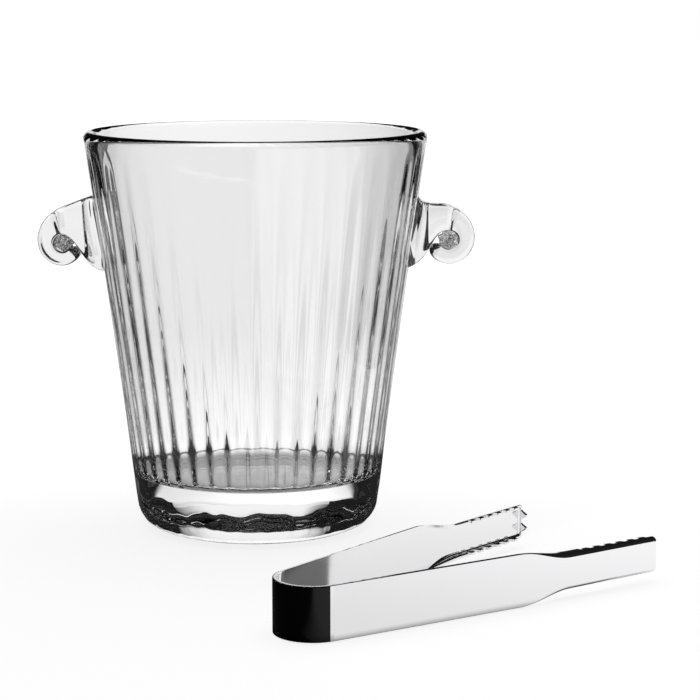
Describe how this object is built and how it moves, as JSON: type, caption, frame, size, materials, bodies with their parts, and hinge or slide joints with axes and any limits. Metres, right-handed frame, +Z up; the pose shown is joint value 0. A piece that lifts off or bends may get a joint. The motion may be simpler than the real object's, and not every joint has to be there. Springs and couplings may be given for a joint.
{
  "type": "ice bucket with tongs",
  "caption": "Tapered clear-glass ice bucket with fluted inside wall, thick base and scroll side handles, with sprung toothed steel ice tongs standing beside it.",
  "frame": {"origin": "centre of the bucket's flat base, on the table", "axes": "+Z up along the bucket's axis, +X towards the right handle, -Y towards the front, where the tongs stand"},
  "size_m": [0.299, 0.3029, 0.2],
  "materials": {
    "crystal_glass": "clear, fire polished",
    "polished_steel": "mirror polished stainless steel",
    "black_sleeve": "gloss black"
  },
  "bodies": {
    "bucket": {"bucket_body": "crystal_glass", "left_handle": "crystal_glass", "right_handle": "crystal_glass"},
    "tongs": {"tongs_bow_spring": "polished_steel", "tongs_bow_sleeve": "black_sleeve"},
    "near_arm": {"tongs_near_arm": "polished_steel"},
    "far_arm": {"tongs_far_arm": "polished_steel"}
  },
  "joints": [
    {"name": "tongs_lift", "type": "slide", "parent": "bucket", "child": "tongs", "axis": [0, 0, 1], "range_m": [0, 0.26]},
    {"name": "near_arm_squeeze", "type": "hinge", "parent": "tongs", "child": "near_arm", "pos_m": [0.0316, -0.1992, 0.0122], "axis": [0, 0, 1], "range_deg": [0, 12.4], "stiffness_Nm_per_rad": 1.6},
    {"name": "far_arm_squeeze", "type": "hinge", "parent": "tongs", "child": "far_arm", "pos_m": [0.0316, -0.1992, 0.0122], "axis": [0, 0, 1], "range_deg": [-12.4, 0], "stiffness_Nm_per_rad": 1.6}
  ],
  "couplings": [
    {"joint": "far_arm_squeeze", "follows": "near_arm_squeeze", "ratio": -1}
  ]
}
